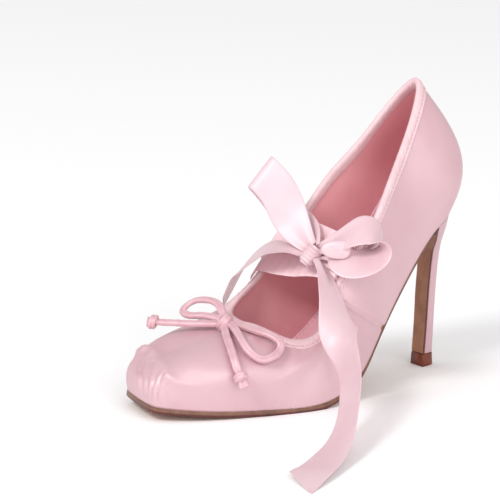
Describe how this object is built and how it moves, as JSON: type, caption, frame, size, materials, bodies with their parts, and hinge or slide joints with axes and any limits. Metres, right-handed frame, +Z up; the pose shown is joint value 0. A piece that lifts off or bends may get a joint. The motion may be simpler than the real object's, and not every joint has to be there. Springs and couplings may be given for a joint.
{
  "type": "stiletto pump",
  "caption": "High-heeled satin pump with a square gathered toe, a padded topline, a thin cord bow at the throat and a wide ribbon tied in a bow over the instep.",
  "frame": {"origin": "on the floor, under the middle of the shoe's length and width, its ribbon bow and cord bow left out", "axes": "+Y towards the heel, so the toe points to -Y; +X towards the outer side of the foot; +Z up"},
  "size_m": [0.2005, 0.2153, 0.1602],
  "materials": {
    "satin": "pale pink duchess satin with a soft sheen",
    "binding_satin": "paler pink satin over a soft padding",
    "heel_satin": "pink satin drawn smooth over the heel",
    "ribbon_satin": "thin shiny pink satin ribbon",
    "cord_satin": "soft pink elastic cord",
    "sole_leather": "tan leather, semi-matte",
    "top_piece": "brown rubber, semi-matte",
    "sock": "pale pink lining leather"
  },
  "bodies": {
    "root": {"upper": "satin", "topline_binding": "binding_satin", "outsole": "sole_leather", "insole": "sock", "heel": "heel_satin", "top_piece": "top_piece", "ribbon_band_lower": "ribbon_satin", "ribbon_band_upper": "ribbon_satin", "ribbon_keeper": "cord_satin", "ribbon_knot": "ribbon_satin", "ribbon_loop_medial": "ribbon_satin", "ribbon_loop_lateral": "ribbon_satin", "ribbon_tail_long": "ribbon_satin", "ribbon_tail_short": "ribbon_satin", "bow_knot": "cord_satin", "bow_loop_medial": "cord_satin", "bow_loop_lateral": "cord_satin", "bow_tail_medial": "cord_satin", "bow_tail_vamp": "cord_satin", "bow_tip_medial": "cord_satin", "bow_tip_vamp": "cord_satin"}
  },
  "joints": []
}
